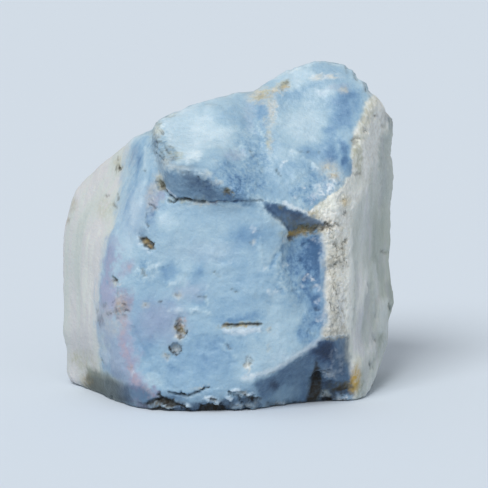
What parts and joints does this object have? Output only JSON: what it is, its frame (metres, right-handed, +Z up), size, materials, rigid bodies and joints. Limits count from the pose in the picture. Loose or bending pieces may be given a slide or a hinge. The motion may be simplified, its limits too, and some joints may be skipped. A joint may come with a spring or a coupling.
{
  "type": "rough blue opal specimen",
  "caption": "Rough piece of pale blue opal, blocky, with an overhanging upper block, a glassy hollow and pale rinds; stands on a flat break as a display stone.",
  "frame": {"origin": "on the resting face, below the middle of the stone's box", "axes": "+Z up, -Y out of the broad blue broken face, +X towards the cream rind and the summit"},
  "size_m": [0.049, 0.0356, 0.0475],
  "materials": {
    "opal": "waxy"
  },
  "bodies": {
    "root": {"blue_opal": "opal"}
  },
  "joints": []
}
